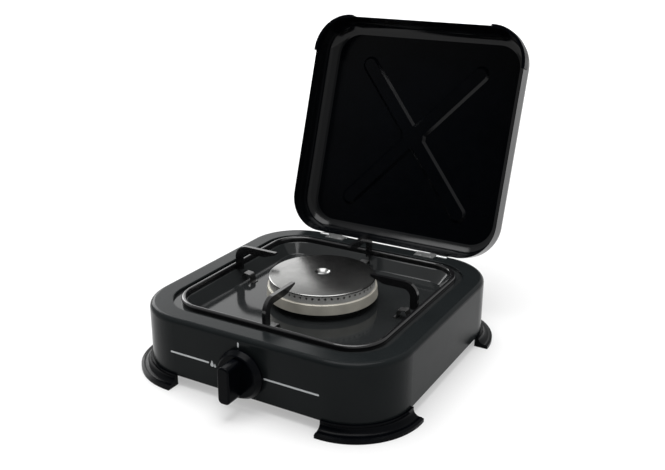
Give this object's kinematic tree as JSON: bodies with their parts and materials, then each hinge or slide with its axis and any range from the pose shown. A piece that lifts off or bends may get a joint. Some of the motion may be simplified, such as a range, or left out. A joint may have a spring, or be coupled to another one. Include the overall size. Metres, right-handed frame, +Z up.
{
  "type": "tabletop gas cooker",
  "caption": "Square dark enamelled tabletop gas cooker with one round burner, a lift-off pan support, a front knob, corner feet and a hinged lid standing open.",
  "frame": {"origin": "centre of the square body's footprint, on the table that the four feet stand on", "axes": "+X to the user's right, -Y towards the user and the knob, +Y towards the hinges, +Z up"},
  "size_m": [0.3048, 0.4182, 0.3157],
  "materials": {
    "body_enamel": "satin dark grey enamel",
    "tray_enamel": "glossy black enamel",
    "lid_enamel": "glossy black enamel",
    "grid_enamel": "satin dark grey enamel on wire and plate",
    "black_plastic": "glossy black moulding",
    "steel": "bright zinc-plated steel",
    "dull_steel": "dull passivated steel",
    "cap_metal": "satin spun metal",
    "ring_metal": "warm pale satin metal",
    "crown_metal": "pale satin metal",
    "cast_metal": "cast, dull",
    "brass": "machined brass"
  },
  "bodies": {
    "stove_body": {"body_shell": "body_enamel", "drip_tray": "tray_enamel", "burner_cup": "tray_enamel", "mixing_tube": "cast_metal", "burner_ring": "ring_metal", "burner_crown": "crown_metal", "burner_cap": "cap_metal", "cap_screw": "steel", "burner_screws": "steel", "foot_screws": "steel", "valve_screws": "steel", "valve_spring": "steel", "air_shutter": "steel", "injector": "brass", "valve_body": "brass", "valve_cap": "brass", "supply_pipe": "steel", "inlet_fitting": "brass", "inlet_nut": "steel", "body_rivets": "steel", "grid_clip_right": "dull_steel", "grid_clip_back": "dull_steel", "grid_clip_left": "dull_steel", "grid_clip_front": "dull_steel", "foot_front_left": "black_plastic", "foot_front_right": "black_plastic", "foot_back_left": "black_plastic", "foot_back_right": "black_plastic", "body_leaf_left": "steel", "hinge_pin_left": "steel", "body_leaf_right": "steel", "hinge_pin_right": "steel"},
    "lid": {"lid_pan": "lid_enamel", "lid_leaf_left": "steel", "lid_leaf_right": "steel", "lid_rivets": "lid_enamel", "lid_bumper_left": "black_plastic", "lid_bumper_right": "black_plastic"},
    "pan_support": {"pan_frame": "grid_enamel", "finger_right": "grid_enamel", "finger_back": "grid_enamel", "finger_left": "grid_enamel", "finger_front": "grid_enamel"},
    "push_sleeve": {"spring_seat": "steel"},
    "knob": {"knob": "black_plastic", "valve_stem": "brass"}
  },
  "joints": [
    {"name": "lid_hinge", "type": "hinge", "parent": "stove_body", "child": "lid", "pos_m": [0, 0.1345, 0.0687], "axis": [1, 0, 0], "range_deg": [0, 108]},
    {"name": "pan_support_lift", "type": "slide", "parent": "stove_body", "child": "pan_support", "axis": [0, 0, -1], "range_m": [-0.05, 0]},
    {"name": "knob_push", "type": "slide", "parent": "stove_body", "child": "push_sleeve", "axis": [0, 1, 0], "range_m": [0, 0.0028], "stiffness_N_per_m": 1500, "deforming": ["valve_spring"]},
    {"name": "knob_turn", "type": "hinge", "parent": "push_sleeve", "child": "knob", "pos_m": [-0.002, -0.14, 0.0355], "axis": [0, -1, 0], "range_deg": [0, 180]}
  ]
}
